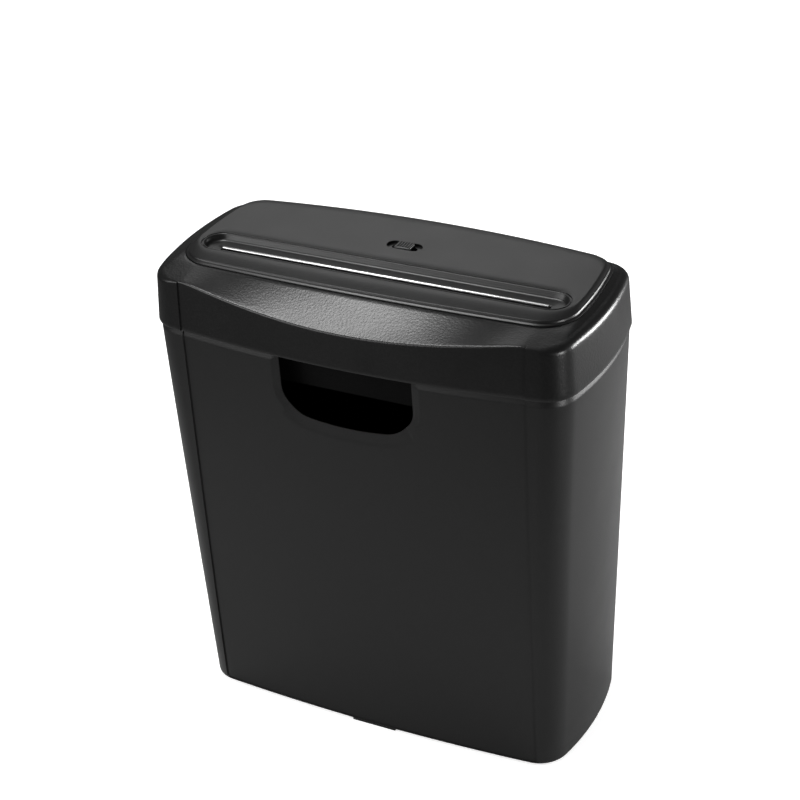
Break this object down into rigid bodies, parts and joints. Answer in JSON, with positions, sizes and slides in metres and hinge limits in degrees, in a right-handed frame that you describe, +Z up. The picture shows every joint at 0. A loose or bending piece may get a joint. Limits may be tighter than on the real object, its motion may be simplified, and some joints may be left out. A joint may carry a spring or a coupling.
{
  "type": "paper shredder",
  "caption": "Strip-cut paper shredder: a cutter head with feed slot, geared motor and cutter cylinders that lifts off a tapered oval waste bin with a hand hole.",
  "frame": {"origin": "on the floor under the middle of the shredder", "axes": "+X to the right seen from the front, +Y to the back, +Z up; the facet and hand hole face -Y"},
  "size_m": [0.3154, 0.1536, 0.3462],
  "materials": {
    "bin_plastic": "fine moulded satin, near black",
    "housing_plastic": "satin black with a fine spark texture on the front facet",
    "panel_plastic": "satin black",
    "inner_plastic": "plain matte black moulding",
    "knob_plastic": "semi-gloss black",
    "guide_steel": "bright brushed strip",
    "cutter_steel": "ground hardened steel with a film of oil",
    "gear_steel": "sintered steel, greased",
    "plate_steel": "zinc-plated sheet",
    "motor_steel": "zinc-plated drawn can",
    "shaft_steel": "ground",
    "fastener_steel": "bright zinc",
    "bush_bronze": "sintered bronze",
    "pinion_brass": "turned brass",
    "gear_nylon": "natural nylon",
    "board_laminate": "green solder mask",
    "capacitor_resin": "amber resin box",
    "gland_rubber": "matte black"
  },
  "bodies": {
    "bin": {"waste_bin": "bin_plastic"},
    "head": {"head_housing": "housing_plastic", "cable_gland": "gland_rubber", "tray_screw_1": "fastener_steel", "tray_screw_2": "fastener_steel", "tray_screw_3": "fastener_steel", "tray_screw_4": "fastener_steel", "top_panel": "panel_plastic", "guide_bar": "guide_steel", "sensor_switch": "inner_plastic", "mode_switch": "inner_plastic", "chassis_tray": "inner_plastic", "interlock_switch": "inner_plastic", "bush_front_left": "bush_bronze", "bush_front_right": "bush_bronze", "bush_rear_left": "bush_bronze", "bush_rear_right": "bush_bronze", "second_axle": "shaft_steel", "first_axle": "shaft_steel", "second_clip": "fastener_steel", "first_clip": "fastener_steel", "motor_can": "motor_steel", "motor_cap": "inner_plastic", "motor_screw_1": "fastener_steel", "motor_screw_2": "fastener_steel", "side_plate_left": "plate_steel", "side_plate_right": "plate_steel", "tie_rod_1": "plate_steel", "tie_rod_2": "plate_steel", "tie_rod_3": "plate_steel", "stripper_comb_front": "inner_plastic", "stripper_comb_rear": "inner_plastic", "circuit_board": "board_laminate", "capacitor": "capacitor_resin", "board_screw_1": "fastener_steel", "board_screw_2": "fastener_steel"},
    "front_cutter": {"front_cutter": "cutter_steel", "drive_gear": "gear_steel", "sync_gear_front": "gear_steel", "shaft_clip_front_right": "fastener_steel", "shaft_clip_front_left": "fastener_steel"},
    "rear_cutter": {"rear_cutter": "cutter_steel", "sync_gear_rear": "gear_steel", "shaft_clip_rear_left": "fastener_steel"},
    "second_gear": {"second_gear": "gear_nylon"},
    "first_gear": {"first_gear": "gear_nylon"},
    "motor_rotor": {"motor_shaft": "shaft_steel", "motor_pinion": "pinion_brass"},
    "sensor_lever": {"sensor_lever": "gear_nylon"},
    "interlock_plunger": {"interlock_plunger": "gear_nylon"},
    "mode_knob": {"mode_knob": "knob_plastic"}
  },
  "joints": [
    {"name": "head_lift", "type": "slide", "parent": "bin", "child": "head", "axis": [0, 0, 1], "range_m": [0, 0.09]},
    {"name": "front_cutter_spin", "type": "hinge", "parent": "head", "child": "front_cutter", "pos_m": [0, -0.02955, 0.307], "axis": [1, 0, 0], "continuous": true},
    {"name": "rear_cutter_spin", "type": "hinge", "parent": "head", "child": "rear_cutter", "pos_m": [0, -0.00405, 0.307], "axis": [1, 0, 0], "continuous": true},
    {"name": "second_gear_spin", "type": "hinge", "parent": "head", "child": "second_gear", "pos_m": [0, -0.00127, 0.29699], "axis": [1, 0, 0], "continuous": true},
    {"name": "first_gear_spin", "type": "hinge", "parent": "head", "child": "first_gear", "pos_m": [0, 0.01625, 0.31338], "axis": [1, 0, 0], "continuous": true},
    {"name": "motor_spin", "type": "hinge", "parent": "head", "child": "motor_rotor", "pos_m": [0, 0.03505, 0.29887], "axis": [1, 0, 0], "continuous": true},
    {"name": "sensor_lever_swing", "type": "hinge", "parent": "head", "child": "sensor_lever", "pos_m": [0, -0.0285, 0.3322], "axis": [-1, 0, 0], "range_deg": [0, 20], "stiffness_Nm_per_rad": 0.002, "springref_deg": -17.19},
    {"name": "interlock_press", "type": "slide", "parent": "head", "child": "interlock_plunger", "axis": [0, 0, 1], "range_m": [0, 0.003], "stiffness_N_per_m": 120, "springref_m": -0.003},
    {"name": "mode_slide", "type": "slide", "parent": "head", "child": "mode_knob", "axis": [1, 0, 0], "range_m": [-0.005, 0.005]}
  ],
  "couplings": [
    {"joint": "rear_cutter_spin", "follows": "front_cutter_spin", "ratio": -1},
    {"joint": "second_gear_spin", "follows": "front_cutter_spin", "ratio": -3},
    {"joint": "first_gear_spin", "follows": "front_cutter_spin", "ratio": 9},
    {"joint": "motor_spin", "follows": "front_cutter_spin", "ratio": -36}
  ]
}
